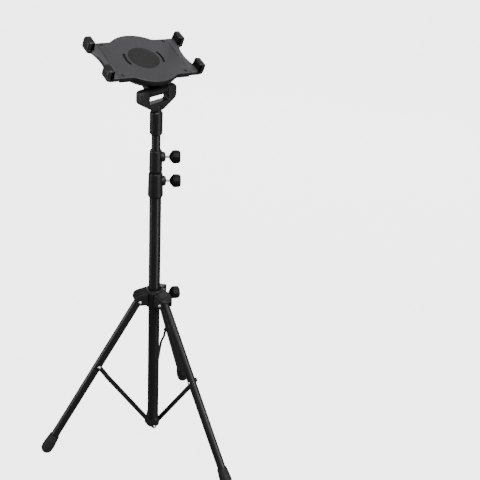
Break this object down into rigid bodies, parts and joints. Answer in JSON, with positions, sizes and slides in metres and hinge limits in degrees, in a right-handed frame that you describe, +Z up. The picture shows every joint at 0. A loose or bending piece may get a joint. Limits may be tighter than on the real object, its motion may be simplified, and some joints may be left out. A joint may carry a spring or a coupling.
{
  "type": "tablet floor stand",
  "caption": "Folding tripod floor stand with a telescoping column and a tilting, turning plate whose sprung claws hold a tablet by its ends.",
  "frame": {"origin": "on the floor, under the middle of the object seen from above; the column stands 46.4 mm behind it", "axes": "+Z up along the column, -Y to the front leg and the front of the holder, +X to the right of the holder"},
  "size_m": [0.3414, 0.2984, 0.723],
  "materials": {
    "black_steel": "satin powder coat",
    "black_plastic": "fine moulded grain",
    "grey_plastic": "fine moulded grain",
    "rubber": "matte",
    "bright_steel": "bright zinc",
    "dark_steel": "blackened",
    "white_plastic": "smooth"
  },
  "bodies": {
    "column": {"base_hub": "black_plastic", "base_rivets": "bright_steel", "lower_tube": "black_steel", "lower_collar": "black_plastic", "lower_clamp_nut": "bright_steel"},
    "lower_knob": {"lower_clamp_screw": "bright_steel", "lower_clamp_knob": "black_plastic"},
    "middle": {"mid_tube": "black_steel", "mid_bush": "white_plastic", "upper_collar": "black_plastic", "upper_clamp_nut": "bright_steel"},
    "upper_knob": {"upper_clamp_screw": "bright_steel", "upper_clamp_knob": "black_plastic"},
    "top": {"top_tube": "black_steel", "top_bush": "white_plastic", "head_socket": "black_plastic", "socket_screw": "dark_steel"},
    "fork": {"yoke": "black_plastic", "head_stem": "bright_steel", "hinge_pin": "bright_steel"},
    "dish": {"swivel_dish": "black_plastic", "swivel_bolt": "bright_steel"},
    "plate": {"back_cover": "black_plastic", "front_plate": "grey_plastic", "centre_pad": "rubber", "plate_screws": "dark_steel", "left_jaw_spring": "bright_steel", "right_jaw_spring": "bright_steel"},
    "jaw_left": {"left_jaw": "grey_plastic", "left_claw_linings": "rubber"},
    "jaw_right": {"right_jaw": "grey_plastic", "right_claw_linings": "rubber"},
    "hub": {"leg_hub": "black_plastic", "hub_rivets": "bright_steel", "hub_clamp_nut": "bright_steel"},
    "hub_knob": {"hub_clamp_screw": "bright_steel", "hub_clamp_knob": "black_plastic"},
    "brace_1": {"brace_1": "black_steel"},
    "leg_1": {"leg_tube_1": "black_steel", "foot_1": "rubber", "brace_rivet_1": "bright_steel"},
    "brace_2": {"brace_2": "black_steel"},
    "leg_2": {"leg_tube_2": "black_steel", "foot_2": "rubber", "brace_rivet_2": "bright_steel"},
    "brace_3": {"brace_3": "black_steel"},
    "leg_3": {"leg_tube_3": "black_steel", "foot_3": "rubber", "brace_rivet_3": "bright_steel"}
  },
  "joints": [
    {"name": "middle_slide", "type": "slide", "parent": "column", "child": "middle", "axis": [0, 0, 1], "range_m": [0, 0.3]},
    {"name": "top_slide", "type": "slide", "parent": "middle", "child": "top", "axis": [0, 0, 1], "range_m": [-0.0245, 0.3]},
    {"name": "fork_pan", "type": "hinge", "parent": "top", "child": "fork", "pos_m": [0, 0.0464, 0.64429], "axis": [0, 0, 1], "continuous": true},
    {"name": "holder_tilt", "type": "hinge", "parent": "fork", "child": "dish", "pos_m": [0, 0.0464, 0.64429], "axis": [1, 0, 0], "range_deg": [-22, 68]},
    {"name": "plate_swivel", "type": "hinge", "parent": "dish", "child": "plate", "pos_m": [0, 0.07549, 0.6884], "axis": [0, -0.3746, 0.9272], "continuous": true},
    {"name": "left_jaw_slide", "type": "slide", "parent": "plate", "child": "jaw_left", "axis": [-0.9796, 0.1864, 0.0753], "range_m": [0, 0.04], "stiffness_N_per_m": 120, "springref_m": -0.04, "deforming": ["left_jaw_spring"]},
    {"name": "right_jaw_slide", "type": "slide", "parent": "plate", "child": "jaw_right", "axis": [0.9796, -0.1864, -0.0753], "range_m": [0, 0.04], "stiffness_N_per_m": 120, "springref_m": -0.04, "deforming": ["right_jaw_spring"]},
    {"name": "lower_knob_turn", "type": "hinge", "parent": "column", "child": "lower_knob", "pos_m": [0, 0.0464, 0.49739], "axis": [0.766, -0.6428, 0], "range_deg": [0, 360]},
    {"name": "upper_knob_turn", "type": "hinge", "parent": "middle", "child": "upper_knob", "pos_m": [0, 0.0464, 0.53779], "axis": [0.766, -0.6428, 0], "range_deg": [0, 360]},
    {"name": "hub_knob_turn", "type": "hinge", "parent": "hub", "child": "hub_knob", "pos_m": [0, 0.0464, 0.29233], "axis": [0.866, -0.5, 0], "range_deg": [0, 360]},
    {"name": "brace_1_swing", "type": "hinge", "parent": "column", "child": "brace_1", "pos_m": [0, 0.0464, 0.03089], "axis": [1, 0, 0], "range_deg": [-26.1, 24.36]},
    {"name": "leg_1_swing", "type": "hinge", "parent": "brace_1", "child": "leg_1", "pos_m": [0, -0.04795, 0.16625], "axis": [1, 0, 0], "range_deg": [-52.5, 56.2]},
    {"name": "brace_2_swing", "type": "hinge", "parent": "column", "child": "brace_2", "pos_m": [0, 0.0464, 0.03089], "axis": [-0.5, 0.866, 0], "range_deg": [-26.2, 24.5]},
    {"name": "leg_2_swing", "type": "hinge", "parent": "brace_2", "child": "leg_2", "pos_m": [0.08171, 0.09358, 0.16625], "axis": [-0.5, 0.866, 0], "range_deg": [-52.5, 56.2]},
    {"name": "brace_3_swing", "type": "hinge", "parent": "column", "child": "brace_3", "pos_m": [0, 0.0464, 0.03089], "axis": [-0.5, -0.866, 0], "range_deg": [-26.2, 24.5]},
    {"name": "leg_3_swing", "type": "hinge", "parent": "brace_3", "child": "leg_3", "pos_m": [-0.08171, 0.09358, 0.16625], "axis": [-0.5, -0.866, 0], "range_deg": [-52.5, 56.2]},
    {"name": "hub_on_leg", "type": "hinge", "parent": "leg_1", "child": "hub", "pos_m": [0, 0.0208, 0.28533], "axis": [1, 0, 0], "range_deg": [-30.1, 28.1]}
  ],
  "couplings": [
    {"joint": "brace_2_swing", "follows": "brace_1_swing", "ratio": 1},
    {"joint": "brace_3_swing", "follows": "brace_1_swing", "ratio": 1},
    {"joint": "leg_1_swing", "follows": "brace_1_swing", "ratio": -2.1493},
    {"joint": "leg_2_swing", "follows": "brace_1_swing", "ratio": -2.1493},
    {"joint": "leg_3_swing", "follows": "brace_1_swing", "ratio": -2.1493},
    {"joint": "hub_on_leg", "follows": "brace_1_swing", "ratio": 1.1493}
  ]
}
